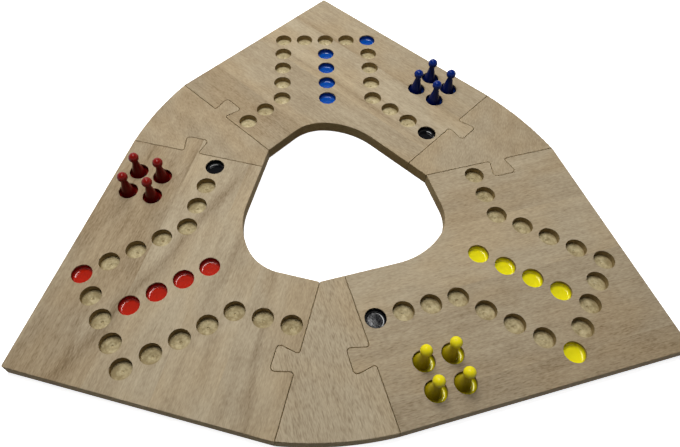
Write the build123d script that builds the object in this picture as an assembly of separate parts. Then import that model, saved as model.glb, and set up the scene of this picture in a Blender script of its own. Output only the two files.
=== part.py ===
from build123d import *
import os
from math import cos, radians, sin, sqrt, tan

# A wooden race board for three players, in millimetres. Three boards lie in a ring on the table, each bent
# round a corner of the middle opening. A wedge between two boards turns the corner that a square would not
# need. Boards and wedges are keyed by dovetail tabs, so each piece joins and leaves its neighbours by a
# straight lift. The origin is the middle of the set's outline, on the table, and +Z points up.

# Ring of boards
colours = ["blue", "yellow", "red"]
first_board_heading = 45.0
joint_gap = 0.3

# Track of recesses, counted in steps of one pitch
hole_pitch = 20.0
arm_steps = 3
side_steps = 4
opening_steps = 4
steps_to_start = 10
home_recesses = 4

# Board outline
board_thickness = 10.0
edge_margin = 18.0
slow_curve_radius = 59.0
tight_curve_radius = 34.0
slow_curve_turn = 41.0
outer_corner_radius = 1.5
edge_round = 0.5

# Recess and its enamel
recess_diameter = 15.0
recess_depth = 5.0
drill_point_diameter = 2.4
drill_point_depth = 0.9
enamel_thickness = 0.4
enamel_curve_radius = 2.5
enamel_curve_turn = 60.0
enamel_wall_gap = 0.05

# Dovetail tab
tab_from_opening = 61.0
tab_root_width = 11.8
tab_depth = 15.5
tab_flare_angle = 13.0
tab_end_radius = 2.8
tab_root_radius = 2.0

# Wedge
wedge_inner_width = 18.4
wedge_outer_radius = 245.0

# Pawn, and how far and which way each player's pawns stand from the middle of their recesses
pawn_height = 24.0
pawn_head_diameter = 8.0
pawn_neck_diameter = 4.2
pawn_base_gap = 1.8
pawn_rim_radius = 2.0
pawn_rim_turn = 20.0
pawn_off_centre = 1.3
pawn_headings = [95.0, 140.0, 135.0]

# Worked out from the sizes above
joint_face = hole_pitch / 2
opening_edge = hole_pitch * opening_steps
near_lane = hole_pitch * (arm_steps + side_steps / sqrt(2))
far_lane = near_lane + hole_pitch * side_steps / sqrt(2)
board_edge = far_lane + edge_margin
tab_place = opening_edge + tab_from_opening
board_turn = 360 / len(colours)
recess_radius = recess_diameter / 2
recess_floor = board_thickness - recess_depth
enamel_top = recess_floor + enamel_thickness


def corner_near(shape, point):
    """The corner of a flat shape that lies nearest to a point."""
    return min(shape.vertices(), key=lambda vertex: (vertex.center() - Vector(*point)).length)


def round_corners(shape, points, radius):
    """Round the corners of a flat shape that lie at the given points."""
    return fillet([corner_near(shape, point) for point in points], radius)


def tab_outline(carrier_length, carrier_depth, clearance=0.0):
    """A dovetail tab pointing along +Y, on a strip of the piece that carries it, which ends at y = 0."""
    root = tab_root_width / 2
    end = root + tab_depth * tan(radians(tab_flare_angle))
    corners = [(-root, 0), (-end, tab_depth), (end, tab_depth), (root, 0)]
    strip = Pos(0, -carrier_depth / 2) * Rectangle(carrier_length, carrier_depth)
    outline = strip + make_face(Polyline(*corners, close=True))
    outline = round_corners(outline, corners[1:3], tab_end_radius)
    outline = round_corners(outline, [corners[0], corners[3]], tab_root_radius)
    return offset(outline, clearance) if clearance else outline


def tab_on_piece():
    """The tab with just enough of its carrier to round the two corners at its root."""
    return tab_outline(tab_root_width + 4 * tab_root_radius, tab_root_radius)


def neighbour_cutter():
    """The neighbouring piece with its tab, grown by the gap, to cut this piece's joint face and socket."""
    return tab_outline(3 * board_edge, board_edge, joint_gap)


# The place and direction of each joint in a board's own frame: the tab of a joint points along its +Y
board_tab_place = Pos(tab_place, -joint_face) * Rot(0, 0, 180)
board_socket_place = Pos(joint_face - joint_gap, tab_place) * Rot(0, 0, -90)

# The next board of the ring, as seen from a board: its inner corner meets the end of the wedge's inner edge
next_inner_corner = Vector(opening_edge, -joint_face - wedge_inner_width)
next_origin = next_inner_corner - Vector(joint_face, opening_edge).rotate(Axis.Z, -board_turn)
next_board = Pos(next_origin) * Rot(0, 0, -board_turn)
ring_centre = next_origin / 2 - next_origin.rotate(Axis.Z, 90) / (2 * tan(radians(board_turn / 2)))


def opening_curve():
    """The two arcs that round a board's inner corner, and the points where they start and end."""
    turn = radians(slow_curve_turn)
    toward_join = Vector(cos(turn), sin(turn))
    start_y = opening_edge - slow_curve_radius * sin(turn) - tight_curve_radius * (1 - sin(turn))
    start = Vector(opening_edge, start_y)
    slow_centre = start - Vector(slow_curve_radius, 0)
    tight_centre = slow_centre + toward_join * (slow_curve_radius - tight_curve_radius)
    slow = CenterArc(slow_centre, slow_curve_radius, 0, slow_curve_turn)
    tight = CenterArc(tight_centre, tight_curve_radius, slow_curve_turn, 90 - slow_curve_turn)
    return [slow, tight], start, tight_centre + Vector(0, tight_curve_radius)


def board_outline():
    """A board seen from above, with its tab along y = -joint_face and its socket along x = joint_face."""
    curves, curve_start, curve_end = opening_curve()
    path = [
        curve_end,
        Vector(0, opening_edge),
        Vector(0, board_edge),
        Vector(board_edge, board_edge),
        Vector(board_edge, -joint_face),
        Vector(opening_edge, -joint_face),
        curve_start,
    ]
    sides = [Line(a, b) for a, b in zip(path, path[1:])]
    outline = make_face(curves + sides)
    outline = round_corners(outline, [(board_edge, board_edge)], outer_corner_radius)
    outline -= board_socket_place * neighbour_cutter()
    return outline + board_tab_place * tab_on_piece()


def wedge_outline():
    """The wedge between a board's tab joint and the next board's socket, in the first board's frame."""
    outer_start = Vector(board_edge, -joint_face)
    outer_end = (next_board * Pos(joint_face, board_edge)).position
    sides = [
        Line(next_inner_corner, Vector(opening_edge, -joint_face)),
        Line(Vector(opening_edge, -joint_face), outer_start),
        RadiusArc(outer_start, outer_end, wedge_outer_radius),
        Line(outer_end, next_inner_corner),
    ]
    outline = make_face(sides) - board_tab_place * neighbour_cutter()
    next_board_cutter = Pos(joint_face - joint_gap, 0) * Rectangle(
        board_edge, 3 * board_edge, align=(Align.MIN, Align.CENTER)
    )
    outline -= next_board * next_board_cutter
    return outline + next_board * board_socket_place * tab_on_piece()


def panel(outline):
    """A flat wooden panel of the board's thickness with all the outer edges eased."""
    solid = extrude(outline, board_thickness)
    rims = solid.faces().sort_by(Axis.Z)
    return fillet(rims[0].outer_wire().edges() + rims[-1].outer_wire().edges(), edge_round)


def track_points():
    """The centres of a board's track recesses, from the socket joint round to the tab joint."""
    outward = Vector(hole_pitch, 0).rotate(Axis.Z, 45)
    across = Vector(hole_pitch, 0).rotate(Axis.Z, -45)
    moves = [Vector(hole_pitch, 0)] * arm_steps + [outward] * side_steps + [across] * side_steps
    moves += [-outward] * side_steps + [Vector(0, -hole_pitch)] * arm_steps
    points = []
    spot = Vector(0, near_lane)
    for move in moves:
        spot += move
        points.append(spot)
    return points


def home_points():
    """The centres of the home recesses, on the board's diagonal, between the two sides of the track."""
    first = hole_pitch * (arm_steps + (side_steps / 2) / sqrt(2))
    outward = Vector(hole_pitch, 0).rotate(Axis.Z, 45)
    return [Vector(first, first) + outward * n for n in range(home_recesses)]


def nest_points():
    """The centres of the four recesses where a player's pawns wait, beside the tab joint."""
    return [Vector(far_lane - column * hole_pitch, row * hole_pitch) for column in (1, 0) for row in (1, 2)]


def drilled_recess():
    """What the drill takes away: a flat-bottomed cylinder with the mark of the drill's point."""
    upward = (Align.CENTER, Align.CENTER, Align.MIN)
    downward = (Align.CENTER, Align.CENTER, Align.MAX)
    barrel = Cylinder(recess_radius, recess_depth, align=upward)
    point = Cone(0, drill_point_diameter / 2, drill_point_depth, align=downward)
    return Pos(0, 0, recess_floor) * (barrel + point)


def enamel_pool():
    """Enamel on a recess floor: it fills the drill's mark, lies flat in the middle and climbs the wall."""
    outer = recess_radius - enamel_wall_gap
    turn = radians(enamel_curve_turn)
    flat_radius = outer - enamel_curve_radius * sin(turn)
    wall_top = enamel_top + enamel_curve_radius * (1 - cos(turn))
    curve_centre = (flat_radius, enamel_top + enamel_curve_radius)
    curve = CenterArc(curve_centre, enamel_curve_radius, -90, enamel_curve_turn)
    flats = [
        (flat_radius, enamel_top),
        (0, enamel_top),
        (0, recess_floor - drill_point_depth),
        (drill_point_diameter / 2, recess_floor),
        (outer, recess_floor),
        (outer, wall_top),
    ]
    return revolve(Plane.XZ * make_face([curve, Polyline(*flats)]), Axis.Z)


def pawn():
    """A pawn standing on z = 0: a rounded base rim, a slightly hollow cone and a ball for a head."""
    base_radius = recess_radius - pawn_base_gap
    foot_radius = base_radius - pawn_rim_radius
    rim_centre = Vector(foot_radius, pawn_rim_radius)
    rim_end = rim_centre + Vector(pawn_rim_radius, 0).rotate(Axis.Z, pawn_rim_turn)
    head_radius = pawn_head_diameter / 2
    neck_radius = pawn_neck_diameter / 2
    head_centre = pawn_height - head_radius
    neck = Vector(neck_radius, head_centre - sqrt(head_radius**2 - neck_radius**2))
    rim = CenterArc(rim_centre, pawn_rim_radius, -90, 90 + pawn_rim_turn)
    cone = TangentArc(rim_end, neck, tangent=Vector(0, 1).rotate(Axis.Z, pawn_rim_turn))
    head = ThreePointArc(neck, (head_radius, head_centre), (0, pawn_height))
    axis_and_foot = Polyline((0, pawn_height), (0, 0), (foot_radius, 0))
    return revolve(Plane.XZ * make_face([rim, cone, head, axis_and_foot]), Axis.Z)


def copies(shape, points):
    """The same shape set at each point."""
    return [Pos(point.X, point.Y) * shape for point in points]


def board_parts(colour, index):
    """The nodes that belong to one board, each still in the set's ring frame."""
    heading = first_board_heading - index * board_turn
    place = Rot(0, 0, heading) * Pos(-ring_centre)
    track = track_points()
    coloured = home_points() + nest_points() + [track[steps_to_start]]
    black = [track[-1]]
    board = panel(board_outline()) - copies(drilled_recess(), home_points() + nest_points() + track)
    parts = {
        f"board_{colour}": place * board,
        f"enamel_{colour}": place * Compound(copies(enamel_pool(), coloured)),
        f"enamel_black_on_{colour}": place * Compound(copies(enamel_pool(), black)),
    }
    aside = Vector(pawn_off_centre, 0).rotate(Axis.Z, pawn_headings[index] - heading)
    seated_pawn = Pos(aside.X, aside.Y, enamel_top) * pawn()
    for number, seated in enumerate(copies(seated_pawn, nest_points()), start=1):
        parts[f"pawn_{colour}_{number}"] = place * seated
    neighbour = colours[(index + 1) % len(colours)]
    parts[f"wedge_{colour}_{neighbour}"] = place * panel(wedge_outline())
    return parts


def middle_of(shapes):
    """The middle of the shapes' common outline in plan."""
    boxes = [shape.bounding_box() for shape in shapes]
    middle_x = (min(box.min.X for box in boxes) + max(box.max.X for box in boxes)) / 2
    middle_y = (min(box.min.Y for box in boxes) + max(box.max.Y for box in boxes)) / 2
    return Vector(middle_x, middle_y)


def board_set():
    """Every node of the set, with the origin in the middle of its outline, on the table."""
    parts = {}
    for index, colour in enumerate(colours):
        parts.update(board_parts(colour, index))
    middle = middle_of(parts.values())
    return {name: Pos(-middle) * shape for name, shape in parts.items()}


os.makedirs("parts", exist_ok=True)
for name, shape in board_set().items():
    export_step(shape, f"parts/{name}.step")
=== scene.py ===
import random
from math import atan2, cos, degrees, pi, radians, sin, sqrt

import bpy
from mathutils import Euler, Matrix, Vector
from mathutils.kdtree import KDTree


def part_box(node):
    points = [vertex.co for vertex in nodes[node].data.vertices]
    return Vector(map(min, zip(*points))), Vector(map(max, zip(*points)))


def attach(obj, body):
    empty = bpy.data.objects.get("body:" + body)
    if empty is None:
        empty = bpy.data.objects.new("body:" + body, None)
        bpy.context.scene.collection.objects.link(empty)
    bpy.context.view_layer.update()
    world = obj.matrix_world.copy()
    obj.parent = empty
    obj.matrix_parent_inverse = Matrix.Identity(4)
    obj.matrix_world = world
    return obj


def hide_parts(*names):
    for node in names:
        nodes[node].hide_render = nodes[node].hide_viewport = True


# Looks of a wooden race board for three players, in metres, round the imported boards, wedges, pools and pawns

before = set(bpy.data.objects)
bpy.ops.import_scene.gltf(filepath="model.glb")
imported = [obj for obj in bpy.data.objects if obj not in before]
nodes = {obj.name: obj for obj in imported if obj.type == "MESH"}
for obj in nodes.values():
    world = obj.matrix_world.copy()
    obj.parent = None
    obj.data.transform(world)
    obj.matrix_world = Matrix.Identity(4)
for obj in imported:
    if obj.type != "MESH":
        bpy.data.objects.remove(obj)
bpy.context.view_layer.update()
mm = 0.001

# Players, the place of each board's own origin, and the turn of its own frame in degrees
players = ["blue", "yellow", "red"]
pawns_each = 4
board_origin = {
    "blue": (-8.609 * mm, -51.057 * mm),
    "yellow": (-11.811 * mm, -25.626 * mm),
    "red": (11.813 * mm, -35.568 * mm),
}
board_heading = {"blue": 45, "yellow": -75, "red": -195}

# Recess
board_top = 10 * mm
recess_radius = 7.5 * mm
recess_floor = 5 * mm
drill_tip = 4.1 * mm

# How close a face or point has to lie to count as part of a recess, and what is as good as nothing
recess_reach = recess_radius + 0.05 * mm
tip_reach = 0.05 * mm
underside_reach = 1 * mm
hair = 0.01 * mm
weld_distance = 0.001 * mm

# Enamel pool: its film climbs the wall to a wandering brim, and its skin curves down to the middle
enamel_top = 5.4 * mm
pool_gap = 0.05 * mm
pool_underside = recess_floor + 0.02 * mm
film_thickness = 0.12 * mm
brim_height = {"blue": 9.3 * mm, "yellow": 8.4 * mm, "red": 9.4 * mm, "black": 9.5 * mm}
brim_wander = 0.35 * mm
brim_reach = 1.2 * mm
skin_curve = 1.6 * mm
skin_curve_turn = 87
skin_curve_steps = 16
skin_curve_height = enamel_top + skin_curve * 0.9
nest_reach = 3 * mm

# The pool's middle, all but flat: how far it sinks just inside the curve and at shares of its radius
flat_edge_width = 0.25 * mm
flat_edge_dip = 0.004 * mm
flat_dips = [(0.6, 0.010 * mm), (0.3, 0.013 * mm), (0, 0.014 * mm)]

# The brim's waves, each with its count round the pool, its phase and its weight
brim_waves = [(2, 0.7, 0.5), (5, 0, 0.3), (9, 2, 0.2)]

# Pawn
pawn_height = 24 * mm
head_radius = 4.0 * mm
neck_radius = 2.1 * mm
foot_radius = 3.7 * mm
rim_radius = 2.0 * mm
rim_turn = 20
rim_steps = 10
cone_steps = 12
head_steps = 20

# Turning
turned_sides = 64
pole_radius = 0.001 * mm

# Paper under and behind the set, and how much of the floor's white is its own glow
floor_radius = 3.0
backdrop_radius = 2.95
backdrop_height = 1.6
paper_white = 0.92
paper_glow = 0.88

# Camera, matched to the photograph's frame
camera_place = (-28.591 * mm, -302.905 * mm, 358.654 * mm)
camera_tilt = (34.951, -0.177, -0.334)
camera_sensor = 36
camera_lens = 30.0905
camera_shift = (0.04641, -0.00293)
nearest_seen = 0.01


# Small helpers for materials

def new_finish(name):
    """A material with no nodes in it, ready for a shader of its own."""
    finish = bpy.data.materials.new(name)
    finish.use_nodes = True
    tree = finish.node_tree
    tree.nodes.clear()
    return finish, tree


def add(tree, kind, sockets=None, **settings):
    """A shader node with its settings, each socket given a value or joined to another's output."""
    node = tree.nodes.new("ShaderNode" + kind)
    for name, value in settings.items():
        setattr(node, name, value)
    for name, value in (sockets or {}).items():
        if isinstance(value, bpy.types.NodeSocket):
            tree.links.new(value, node.inputs[name])
        else:
            node.inputs[name].default_value = value
    return node


def maths(tree, operation, a, b=0.0, c=0.0):
    """One step of arithmetic on the surface."""
    return add(tree, "Math", {0: a, 1: b, 2: c}, operation=operation).outputs[0]


def around_half(tree, value, strength, tone):
    """The tone, moved up or down by how far a pattern lies above or below its middle."""
    return maths(tree, "MULTIPLY_ADD", maths(tree, "SUBTRACT", value, 0.5), strength, tone)


def times(tree, first, second):
    """Two colours or places multiplied, channel by channel."""
    return add(tree, "VectorMath", {0: first, 1: second}, operation="MULTIPLY").outputs[0]


def ramp(tree, factor, stops, interpolation="LINEAR"):
    """A colour that follows a factor through the given stops."""
    node = add(tree, "ValToRGB", {"Fac": factor})
    bar = node.color_ramp
    bar.interpolation = interpolation
    while len(bar.elements) < len(stops):
        bar.elements.new(0.5)
    for element, (place, colour) in zip(bar.elements, stops):
        element.position = place
        element.color = (*colour, 1)
    return node.outputs["Color"]


def grey(value):
    """An even grey."""
    return (value, value, value)


def noise(tree, vector, detail=3.0, roughness=0.55):
    """Soft noise with cells of one unit."""
    sockets = {"Vector": vector, "Scale": 1.0, "Detail": detail, "Roughness": roughness}
    return add(tree, "TexNoise", sockets).outputs["Fac"]


def even_noise(tree, cell, detail=3.0, roughness=0.55):
    """Soft noise on the piece's own place, with cells of the given size every way."""
    place = add(tree, "TexCoord").outputs["Object"]
    cells = add(tree, "Mapping", {"Vector": place, "Scale": grey(1 / cell)}).outputs[0]
    return noise(tree, cells, detail, roughness)


def share_of_height(tree, low, high):
    """How far up the surface lies, from none at one height to all at another."""
    place = add(tree, "TexCoord").outputs["Object"]
    height = add(tree, "SeparateXYZ", {0: place}).outputs["Z"]
    return add(tree, "MapRange", {0: height, 1: low, 2: high}).outputs[0]


def relief(tree, height, strength, distance):
    """A bumped normal from a pattern's height."""
    return add(tree, "Bump", {"Height": height, "Strength": strength, "Distance": distance}).outputs[0]


def surface(tree, **sockets):
    """The principled shader at the end of a material, with its sockets named by keyword."""
    named = {name.replace("_", " "): value for name, value in sockets.items()}
    shader = add(tree, "BsdfPrincipled", named)
    add(tree, "OutputMaterial", {"Surface": shader.outputs[0]})


# Finishes

def grain_cells(tree, origin, heading, across, along, offset=None):
    """The piece's own place measured in cells that lie across and along the grain."""
    place = add(tree, "TexCoord").outputs["Object"]
    sockets = {
        "Vector": place,
        "Location": (*origin, 0),
        "Rotation": (0, 0, radians(heading)),
        "Scale": (across, along, across),
    }
    cells = add(tree, "Mapping", sockets, vector_type="TEXTURE").outputs[0]
    if offset is None:
        return cells
    return add(tree, "VectorMath", {0: cells, 1: offset}, operation="ADD").outputs[0]


def mineral_streak(tree, across, along, wander, streak):
    """A soft dark streak near the grain, from its place across, lean, half width and strength."""
    middle, lean, half_width, strength = streak
    sway = 16 * mm
    fade = 1.5
    line = maths(tree, "MULTIPLY_ADD", along, -lean, maths(tree, "SUBTRACT", across, middle * mm))
    line = maths(tree, "MULTIPLY_ADD", maths(tree, "SUBTRACT", wander, 0.5), sway, line)
    away = maths(tree, "DIVIDE", maths(tree, "ABSOLUTE", line), half_width * mm)
    share = maths(tree, "MAXIMUM", maths(tree, "SUBTRACT", 1.0, away), 0.0)
    return maths(tree, "MULTIPLY", maths(tree, "POWER", share, fade), strength)


def beech(name, origin, heading, staves, figure, dashes, bands, fibres, mottle=0.3,
          dash_share=0.46, streaks=()):
    """Oiled beech in glued staves, with growth figure, fibre and dashes along the grain."""
    finish, tree = new_finish(name)
    own_place = add(tree, "SeparateXYZ", {0: grain_cells(tree, origin, heading, 1.0, 1.0)}).outputs
    across, along = own_place["X"], own_place["Y"]

    # Each stave's tone, which also shifts its patterns so that no two staves match
    stave_span = 240 * mm
    span_start = 0.1
    stave_place = maths(tree, "MULTIPLY_ADD", across, 1 / stave_span, span_start)
    stops = [((start * mm) / stave_span + span_start, grey(tone)) for start, tone in staves]
    stave = ramp(tree, stave_place, stops, "CONSTANT")
    shift = times(tree, stave, (57.0, 23.0, 91.0))

    def pattern(cell_across, cell_along, detail=3.0, roughness=0.55):
        cells = grain_cells(tree, origin, heading, cell_across * mm, cell_along * mm, shift)
        return noise(tree, cells, detail, roughness)

    # Patterns, from the broadest to the finest
    cloud = pattern(24, 80)
    patch = pattern(11, 17, 2.0)
    warmth = pattern(38, 70, 2.0)
    wander = pattern(30, 150, 2.0)
    band = pattern(6, 170, 2.0)
    streaky = pattern(2.0, 45)
    fibre = pattern(0.7, 16, 4.0, 0.65)
    pore = pattern(0.9, 3.2, 1.0, 0.5)
    fine = pattern(0.75, 5, 1.0, 0.5)
    rings = maths(tree, "PINGPONG", maths(tree, "MULTIPLY", wander, 9.0), 1.0)
    dash = maths(tree, "SMOOTH_MAX", maths(tree, "SUBTRACT", fine, 1 - dash_share), 0.0, 0.02)

    # How dark the wood is
    tone = around_half(tree, cloud, 0.42, 0.45)
    tone = around_half(tree, stave, 0.55, tone)
    tone = around_half(tree, patch, mottle, tone)
    tone = around_half(tree, rings, 0.16 * figure, tone)
    tone = around_half(tree, band, 0.9 * bands, tone)
    tone = around_half(tree, streaky, 0.5 * fibres, tone)
    tone = around_half(tree, fibre, 0.6 * fibres, tone)
    tone = around_half(tree, pore, 0.75, tone)
    tone = maths(tree, "MULTIPLY_ADD", dash, 2.0 * dashes, tone)
    for streak in streaks:
        tone = maths(tree, "ADD", tone, mineral_streak(tree, across, along, wander, streak))

    # Its colour, warmer in broad patches, and browner and darker on the sides: partly the sawn edges' own
    # tone, partly painted shade
    facing = add(tree, "SeparateXYZ", {0: add(tree, "NewGeometry").outputs["Normal"]}).outputs["Z"]
    side = maths(tree, "SUBTRACT", 1.0, maths(tree, "ABSOLUTE", facing))
    wood = ramp(tree, maths(tree, "MULTIPLY", tone, 0.75), [
        (0.0, (0.520, 0.435, 0.300)),
        (0.34, (0.415, 0.338, 0.227)),
        (0.56, (0.335, 0.264, 0.171)),
        (0.75, (0.260, 0.196, 0.119)),
        (1.0, (0.170, 0.122, 0.068)),
    ])
    warm = ramp(tree, warmth, [(0.42, (1.0, 1.0, 1.0)), (0.62, (1.0, 0.955, 0.89))])
    sides_browned_and_shaded = ramp(tree, side, [(0.0, (1.0, 1.0, 1.0)), (1.0, (0.98, 0.90, 0.65))])
    colour = times(tree, times(tree, wood, warm), sides_browned_and_shaded)

    roughness = maths(tree, "MULTIPLY_ADD", fibre, 0.18, 0.47)
    height = maths(tree, "MULTIPLY_ADD", dash, -1.5, fibre)
    bump = relief(tree, height, 0.35, 0.1 * mm)
    surface(tree, Base_Color=colour, Roughness=roughness, Specular_IOR_Level=0.05, Normal=bump)
    return finish


def drilled_floor(name, shade):
    """The raw floor of a recess: pale and a little woolly, with the rings that the drill's cutters left. Its
    darkening toward the wall and its tone per board are painted shade.
    """
    finish, tree = new_finish(name)
    own = add(tree, "UVMap", uv_map="recess").outputs[0]
    radius = add(tree, "VectorMath", {0: own}, operation="LENGTH").outputs["Value"]
    woolly = even_noise(tree, 3.4 * mm, 3.0, 0.6)
    wander = maths(tree, "MULTIPLY_ADD", woolly, 0.12, radius)
    rings = maths(tree, "PINGPONG", maths(tree, "MULTIPLY", wander, 7.0), 1.0)
    # The floor's tone for its board, which is painted shade, moved by the wool
    tone = around_half(tree, woolly, 2.2, shade)
    tone = maths(tree, "MULTIPLY_ADD", rings, 0.12, tone)
    # Painted shade: darker toward the recess wall
    tone = maths(tree, "MULTIPLY_ADD", maths(tree, "POWER", radius, 4.0), 0.55, tone)
    colour = ramp(tree, tone, [
        (0.0, (0.600, 0.515, 0.310)),
        (0.5, (0.460, 0.380, 0.212)),
        (1.0, (0.290, 0.225, 0.110)),
    ])
    height = maths(tree, "MULTIPLY_ADD", rings, 0.4, woolly)
    bump = relief(tree, height, 0.5, 0.12 * mm)
    surface(tree, Base_Color=colour, Roughness=0.72, Specular_IOR_Level=0.2, Normal=bump)
    return finish


def drilled_wall():
    """The wall of a recess, burnished brown by the drill."""
    finish, tree = new_finish("drilled beech wall")
    fibre = even_noise(tree, 1.2 * mm, 4.0, 0.6)
    colour = ramp(tree, fibre, [
        (0.3, (0.370, 0.275, 0.125)),
        (0.7, (0.225, 0.155, 0.062)),
    ])
    bump = relief(tree, fibre, 0.3, 0.1 * mm)
    surface(tree, Base_Color=colour, Roughness=0.6, Specular_IOR_Level=0.2, Normal=bump)
    return finish


def poured_enamel(name, deep, bright, gloss_blur=0.05):
    """Gloss enamel, bright on the recess floor and deeper up the wall, with a faint swell."""
    finish, tree = new_finish(name)
    climb = share_of_height(tree, enamel_top, board_top)
    swell = even_noise(tree, 5 * mm, 2.0)
    tone = around_half(tree, swell, 0.25, climb)
    colour = ramp(tree, tone, [(0.0, bright), (0.8, deep)])
    bump = relief(tree, swell, 1.0, 0.015 * mm)
    surface(tree, Base_Color=colour, Roughness=gloss_blur, Normal=bump)
    return finish


def pawn_gloss_shaded_foot(name, deep, bright):
    """Glossy colour, darker toward the foot as painted shade, with a faint uneven skin."""
    finish, tree = new_finish(name)
    climb = share_of_height(tree, enamel_top, enamel_top + pawn_height)
    skin = even_noise(tree, 1.6 * mm)
    tone = around_half(tree, skin, 0.2, climb)
    # Painted shade: the colour darkens from the head down to the foot
    colour = ramp(tree, tone, [(0.1, deep), (0.85, bright)])
    roughness = maths(tree, "MULTIPLY_ADD", skin, 0.10, 0.10)
    bump = relief(tree, skin, 0.15, 0.05 * mm)
    surface(tree, Base_Color=colour, Roughness=roughness, Specular_IOR_Level=0.14, Normal=bump)
    return finish


# Small helpers for pieces

def deselect():
    """Nothing selected, out of edit mode."""
    if bpy.context.object and bpy.context.object.mode != "OBJECT":
        bpy.ops.object.mode_set(mode="OBJECT")
    bpy.ops.object.select_all(action="DESELECT")


def pick(piece):
    """Only this piece selected and active."""
    deselect()
    piece.select_set(True)
    bpy.context.view_layer.objects.active = piece


def copy_at(piece, name, place, turn):
    """A copy with its own mesh, turned about the upright and set at a place, both kept in the mesh."""
    mesh = piece.data.copy()
    mesh.transform(Matrix.Translation(place) @ Matrix.Rotation(turn, 4, "Z"))
    copy = bpy.data.objects.new(name, mesh)
    bpy.context.scene.collection.objects.link(copy)
    return copy


def turned(name, rings):
    """A turned piece: a circle drawn from ring to ring of radius and height, the last merged to a pole."""
    deselect()
    radius, height = rings[0]
    bpy.ops.mesh.primitive_circle_add(
        vertices=turned_sides, radius=radius, fill_type="NGON", location=(0, 0, height)
    )
    piece = bpy.context.object
    piece.name = name
    bpy.ops.object.transform_apply()
    bpy.ops.object.mode_set(mode="EDIT")
    bpy.ops.mesh.select_all(action="SELECT")
    for ring_radius, next_height in rings[1:]:
        next_radius = max(ring_radius, pole_radius)
        bpy.ops.mesh.extrude_region_move(TRANSFORM_OT_translate={"value": (0, 0, next_height - height)})
        share = next_radius / radius
        bpy.ops.transform.resize(value=(share, share, 1), center_override=(0, 0, next_height))
        radius, height = next_radius, next_height
    bpy.ops.mesh.merge(type="CENTER")
    bpy.ops.mesh.select_all(action="SELECT")
    bpy.ops.mesh.normals_make_consistent(inside=False)
    bpy.ops.object.mode_set(mode="OBJECT")
    bpy.ops.object.shade_smooth_by_angle(angle=radians(40))
    return piece


def arc(centre, radius, start, turn, steps):
    """Points of an arc in the turning profile, as radius and height, without its first point."""
    angles = [radians(start + turn * n / steps) for n in range(1, steps + 1)]
    return [(centre[0] + radius * cos(a), centre[1] + radius * sin(a)) for a in angles]


def hung_between(start, end, lean, steps):
    """Points of the arc that leaves a point leaning inward by an angle and ends at another point."""
    chord = Vector(end) - Vector(start)
    chord_lean = atan2(-chord.x, chord.y)
    swing = radians(lean) - chord_lean
    radius = chord.length / (2 * sin(swing))
    points = []
    for n in range(1, steps + 1):
        angle = radians(lean) - 2 * swing * n / steps
        x = start[0] - radius * (cos(angle) - cos(radians(lean)))
        y = start[1] + radius * (sin(radians(lean)) - sin(angle))
        points.append((x, y))
    return points


def pawn_rings():
    """The pawn's turning profile from its foot up: rim, hollow cone and ball head."""
    rim = arc((foot_radius, rim_radius), rim_radius, -90, 90 + rim_turn, rim_steps)
    head_centre = pawn_height - head_radius
    neck_height = head_centre - sqrt(head_radius**2 - neck_radius**2)
    cone = hung_between(rim[-1], (neck_radius, neck_height), rim_turn, cone_steps)
    neck_angle = degrees(atan2(neck_radius, head_centre - neck_height)) - 90
    head = arc((0, head_centre), head_radius, neck_angle, 90 - neck_angle, head_steps)
    return [(foot_radius, 0)] + rim + cone + head


def pool_rings(brim):
    """A pool's turning profile: up its outer wall, down the film's inside, then in to the middle."""
    outer = recess_radius - pool_gap
    inner = outer - film_thickness
    wall = [(outer, pool_underside), (outer, brim - film_thickness), (outer - film_thickness * 0.5, brim)]
    inside = [(inner, brim - film_thickness), (inner, skin_curve_height)]
    curve_centre = (inner - skin_curve, skin_curve_height)
    curve = arc(curve_centre, skin_curve, 0, -skin_curve_turn, skin_curve_steps)
    flat, low = curve[-1]
    flat_edge = [(flat - flat_edge_width, low - flat_edge_dip)]
    middle = [(flat * share, low - dip) for share, dip in flat_dips]
    return wall + inside + curve + flat_edge + middle


def uneven_brim(piece, brim):
    """Let the film's brim wander up and down the wall as poured enamel does."""
    for vertex in piece.data.vertices:
        share = max(0.0, 1 - (brim - vertex.co.z) / brim_reach)
        if share:
            angle = atan2(vertex.co.y, vertex.co.x)
            wave = sum(weight * sin(count * angle + phase) for count, phase, weight in brim_waves)
            vertex.co.z += brim_wander * share * (wave - 1)


def drill_tips(node):
    """The centres of a node's recesses or pools, read from the points that the drill's tip left."""
    tips = set()
    for vertex in nodes[node].data.vertices:
        if abs(vertex.co.z - drill_tip) < tip_reach:
            tips.add((round(vertex.co.x, 4), round(vertex.co.y, 4)))
    return sorted(tips)


# Kinds of face on a board, in the order of its finishes
wood_face, floor_face, wall_face = range(3)


def face_kind(corners, middle, away):
    """Whether a face of a board is plain wood, a recess's floor or its wall."""
    low = min(corner.z for corner in corners)
    high = max(corner.z for corner in corners)
    if away < recess_reach and low > underside_reach and middle.z < board_top - hair:
        return floor_face if high < recess_floor + hair else wall_face
    return wood_face


def map_recesses(mesh, tips):
    """Give each face its kind, and a map that measures it from the nearest recess in recess radii."""
    tree = KDTree(len(tips))
    for n, (x, y) in enumerate(tips):
        tree.insert((x, y, 0), n)
    tree.balance()
    while mesh.uv_layers:
        mesh.uv_layers.remove(mesh.uv_layers[0])
    recess_map = mesh.uv_layers.new(name="recess")
    for face in mesh.polygons:
        corners = [mesh.vertices[v].co for v in face.vertices]
        middle = sum(corners, Vector()) / len(corners)
        tip, _, away = tree.find((middle.x, middle.y, 0))
        face.material_index = face_kind(corners, middle, away)
        for loop in face.loop_indices:
            co = mesh.vertices[mesh.loops[loop].vertex_index].co
            recess_map.data[loop].uv = ((co.x - tip.x) / recess_radius, (co.y - tip.y) / recess_radius)


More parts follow.
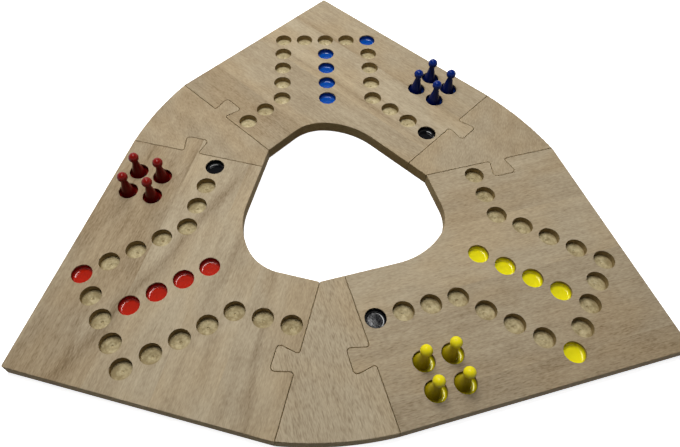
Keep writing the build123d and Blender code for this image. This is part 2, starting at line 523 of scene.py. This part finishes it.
def dressed_board(colour, finishes):
    """A copy of a board, with finishes for its wood, its recess floors and its recess walls."""
    node = f"board_{colour}"
    piece = bpy.data.objects.new(f"beech_board_{colour}", nodes[node].data.copy())
    bpy.context.scene.collection.objects.link(piece)
    piece.data.materials.clear()
    for finish in finishes:
        piece.data.materials.append(finish)
    pick(piece)
    bpy.ops.object.mode_set(mode="EDIT")
    bpy.ops.mesh.select_all(action="SELECT")
    bpy.ops.mesh.customdata_custom_splitnormals_clear()
    bpy.ops.mesh.remove_doubles(threshold=weld_distance)
    bpy.ops.object.mode_set(mode="OBJECT")
    map_recesses(piece.data, drill_tips(node))
    bpy.ops.object.shade_smooth_by_angle(angle=radians(30))
    weighted = piece.modifiers.new("even shading", "WEIGHTED_NORMAL")
    weighted.keep_sharp = True
    bpy.ops.object.modifier_apply(modifier=weighted.name)
    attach(piece, f"{colour}_board")
    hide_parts(node)


# Wood of the set. Staves are where each starts across the board, in mm, and how dark it is. Streaks are
# where each lies across the board in mm, how it leans, its half width in mm and its strength.

first_stave_start = -24
last_stave_end = 230


def one_stave(tone):
    """A piece sawn from a single stave: the same tone from one side to the other."""
    return [(first_stave_start, tone), (last_stave_end, tone)]


board_wood = {
    "blue": {
        "staves": [(first_stave_start, 1.0), (48, 0.74), (100, 0.40), (150, 0.62)],
        "figure": 0.5,
        "dashes": 0.35,
        "bands": 0.35,
        "fibres": 0.8,
        "streaks": [(106, 0.0, 5, 0.30), (121, 0.02, 4, 0.22), (152, -0.03, 6, 0.15)],
    },
    "yellow": {
        "staves": [(first_stave_start, 0.70), (60, 0.44), (109, 0.78), (172, 1.0)],
        "figure": 0.4,
        "dashes": 0.5,
        "bands": 0.3,
        "fibres": 0.8,
    },
    "red": {
        "staves": [(first_stave_start, 0.58), (52, 0.50), (90, 0.56), (135, 0.96)],
        "figure": 1.2,
        "dashes": 0.4,
        "bands": 0.4,
        "fibres": 0.75,
        "streaks": [(92, 0.34, 9, 0.34), (52, -0.12, 7, 0.26), (72, 0.05, 8, 0.16)],
    },
}
wedge_wood = {
    "right": {
        "staves": one_stave(0.70),
        "figure": 0.1,
        "dashes": 0.25,
        "bands": 0.1,
        "fibres": 0.35,
        "mottle": 0.5,
    },
    "front": {
        "staves": one_stave(0.34),
        "figure": 0.3,
        "dashes": 0.75,
        "bands": 0.3,
        "fibres": 0.7,
        "dash_share": 0.56,
    },
    "left": {
        "staves": one_stave(0.80),
        "figure": 0.1,
        "dashes": 0.25,
        "bands": 0.1,
        "fibres": 0.35,
        "mottle": 0.7,
    },
}

# Each wedge's side of the set, the board whose frame its grain is measured in, and the grain's turn there
wedge_grain = {
    "wedge_blue_yellow": ("right", "blue", -60),
    "wedge_yellow_red": ("front", "yellow", 90),
    "wedge_red_blue": ("left", "red", 40),
}

# Finishes of the set
# How dark each board's recess floors are: painted shade, lightest on the blue board
floor_painted_shade = {"blue": 0.38, "yellow": 0.58, "red": 0.62}
floor_finish = {
    colour: drilled_floor(f"drilled floor with painted shade {colour} board", floor_painted_shade[colour]) for colour in players
}
wall_finish = drilled_wall()
board_finish = {
    colour: beech(f"beech {colour} board", board_origin[colour], board_heading[colour], **board_wood[colour])
    for colour in players
}
wedge_finish = {
    node: beech(f"beech {side} wedge", board_origin[board], board_heading[board] + turn, **wedge_wood[side])
    for node, (side, board, turn) in wedge_grain.items()
}
enamel_finish = {
    "blue": poured_enamel("blue enamel", (0.001, 0.010, 0.09), (0.001, 0.065, 0.36), gloss_blur=0.20),
    "yellow": poured_enamel("yellow enamel", (0.36, 0.30, 0.003), (0.80, 0.72, 0.006)),
    "red": poured_enamel("red enamel", (0.09, 0.002, 0.001), (0.43, 0.015, 0.004)),
    "black": poured_enamel("black enamel", (0.002, 0.002, 0.003), (0.003, 0.003, 0.004)),
}
# Darker copies of the enamels for the pools under pawns: painted shade from the pawns and the recess walls
nest_finish_painted_shade = {
    "blue": poured_enamel("blue nest enamel in painted shade", (0.001, 0.006, 0.05), (0.001, 0.018, 0.12), gloss_blur=0.20),
    "yellow": poured_enamel("yellow nest enamel in painted shade", (0.24, 0.19, 0.002), (0.62, 0.54, 0.005)),
    "red": poured_enamel("red nest enamel in painted shade", (0.06, 0.002, 0.001), (0.16, 0.005, 0.002)),
}
# Each pawn's colour at the foot, darkened as painted shade, and at the head
pawn_finish = {
    "blue": pawn_gloss_shaded_foot("blue pawn", (0.001, 0.005, 0.060), (0.001, 0.018, 0.17)),
    "yellow": pawn_gloss_shaded_foot("yellow pawn", (0.32, 0.24, 0.002), (0.88, 0.75, 0.010)),
    "red": pawn_gloss_shaded_foot("red pawn", (0.12, 0.002, 0.002), (0.23, 0.008, 0.005)),
}


# Boards and wedges
for colour in players:
    dressed_board(colour, [board_finish[colour], floor_finish[colour], wall_finish])
for node, finish in wedge_finish.items():
    for material_slot in nodes[node].material_slots:
        material_slot.material = finish


# Enamel pools
chance = random.Random(7)
pawn_numbers = range(1, pawns_each + 1)
pawn_nodes = [f"pawn_{colour}_{number}" for colour in players for number in pawn_numbers]
pawn_feet = [(sum(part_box(node), Vector()) / 2).to_2d() for node in pawn_nodes]


def pour(colour, node, body, name):
    """Every pool of one node, each turned its own way, joined as one piece. Those under pawns get a darker
    enamel as painted shade.
    """
    model = turned("pool_model", pool_rings(brim_height[colour]))
    model.data.materials.clear()
    uneven_brim(model, brim_height[colour])
    pools = []
    for n, (x, y) in enumerate(drill_tips(node)):
        pool = copy_at(model, f"{name}_{n}", (x, y, 0), chance.uniform(0, 2 * pi))
        under_pawn = any((foot - Vector((x, y))).length < nest_reach for foot in pawn_feet)
        pool.data.materials.append(nest_finish_painted_shade[colour] if under_pawn else enamel_finish[colour])
        pools.append(pool)
    bpy.data.objects.remove(model)
    pick(pools[0])
    for pool in pools:
        pool.select_set(True)
    if len(pools) > 1:
        bpy.ops.object.join()
    piece = bpy.context.object
    piece.name = name
    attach(piece, body)
    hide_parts(node)


for colour in players:
    pour(colour, f"enamel_{colour}", f"{colour}_board", f"poured_{colour}")
    pour("black", f"enamel_black_on_{colour}", f"{colour}_board", f"poured_black_on_{colour}")


# Pawns
pawn_model = turned("pawn_model", pawn_rings())
for colour in players:
    for number in pawn_numbers:
        node = f"pawn_{colour}_{number}"
        low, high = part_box(node)
        middle = (low + high) / 2
        piece = copy_at(pawn_model, f"turned_{node}", (middle.x, middle.y, low.z), chance.uniform(0, 2 * pi))
        piece.data.materials.clear()
        piece.data.materials.append(pawn_finish[colour])
        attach(piece, f"{colour}_{number}_pawn")
        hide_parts(node)
bpy.data.objects.remove(pawn_model)


# Floor and backdrop
def white_paper(name, dull_colour, keeps_shadow):
    """Paper that is white to the camera and in the gloss of the pieces, and gives them little light."""
    finish, tree = new_finish(name)
    path = add(tree, "LightPath").outputs
    in_gloss = maths(tree, "MAXIMUM", path["Is Glossy Ray"], path["Is Transmission Ray"])
    white = add(tree, "Emission", {"Color": (1, 1, 1, 1), "Strength": 1.0}).outputs[0]
    dull = add(tree, "BsdfDiffuse", {"Color": (*dull_colour, 1)}).outputs[0]
    shown = white
    if keeps_shadow:
        lit = add(tree, "BsdfDiffuse", {"Color": (*grey(paper_white), 1)}).outputs[0]
        glow = add(tree, "Emission", {"Color": (1, 1, 1, 1), "Strength": paper_glow}).outputs[0]
        shown = add(tree, "AddShader", {0: lit, 1: glow}).outputs[0]
    mixed = add(tree, "MixShader", {0: path["Is Camera Ray"], 1: dull, 2: shown}).outputs[0]
    mixed = add(tree, "MixShader", {0: in_gloss, 1: mixed, 2: white}).outputs[0]
    add(tree, "OutputMaterial", {"Surface": mixed})
    return finish


deselect()
bpy.ops.mesh.primitive_circle_add(vertices=64, radius=floor_radius, fill_type="NGON")
floor = bpy.context.object
floor.name = "floor"
floor.data.materials.append(white_paper("white paper", (0.22, 0.20, 0.17), keeps_shadow=True))
deselect()
bpy.ops.mesh.primitive_cylinder_add(
    vertices=96,
    radius=backdrop_radius,
    depth=backdrop_height,
    end_fill_type="NOTHING",
    location=(0, 0, backdrop_height / 2),
)
backdrop = bpy.context.object
backdrop.name = "backdrop"
bpy.ops.object.transform_apply()
backdrop.data.materials.append(white_paper("white backdrop", grey(0.15), keeps_shadow=False))


# Lamps and world
def soft_lamp(name, place, aim, size, power):
    """An oval soft box that points at a spot."""
    lamp = bpy.data.lights.new(name, "AREA")
    lamp.shape = "ELLIPSE"
    lamp.size, lamp.size_y = size
    lamp.energy = power
    lamp_object = bpy.data.objects.new(name, lamp)
    lamp_object.location = place
    lamp_object.rotation_euler = (Vector(aim) - Vector(place)).to_track_quat("-Z", "Y").to_euler()
    bpy.context.scene.collection.objects.link(lamp_object)


soft_lamp("overhead", place=(-0.10, 0.18, 0.90), aim=(-0.06, 0.08, 0), size=(0.50, 0.50), power=7.8)
soft_lamp("window", place=(-0.40, 1.10, 0.85), aim=(0, 0, 0), size=(0.80, 0.25), power=4.0)
world = bpy.data.worlds.new("room")
bpy.context.scene.world = world
world.use_nodes = True
background = world.node_tree.nodes["Background"].inputs
background["Color"].default_value = (0.95, 0.97, 1.0, 1)
background["Strength"].default_value = 0.12


# Camera
camera = bpy.data.cameras.new("camera")
camera.sensor_width = camera_sensor
camera.lens = camera_lens
camera.shift_x, camera.shift_y = camera_shift
camera.clip_start = nearest_seen
camera_object = bpy.data.objects.new("camera", camera)
camera_object.location = camera_place
camera_object.rotation_euler = Euler([radians(angle) for angle in camera_tilt])
bpy.context.scene.collection.objects.link(camera_object)
bpy.context.scene.camera = camera_object

bpy.context.scene.view_settings.view_transform = "Standard"
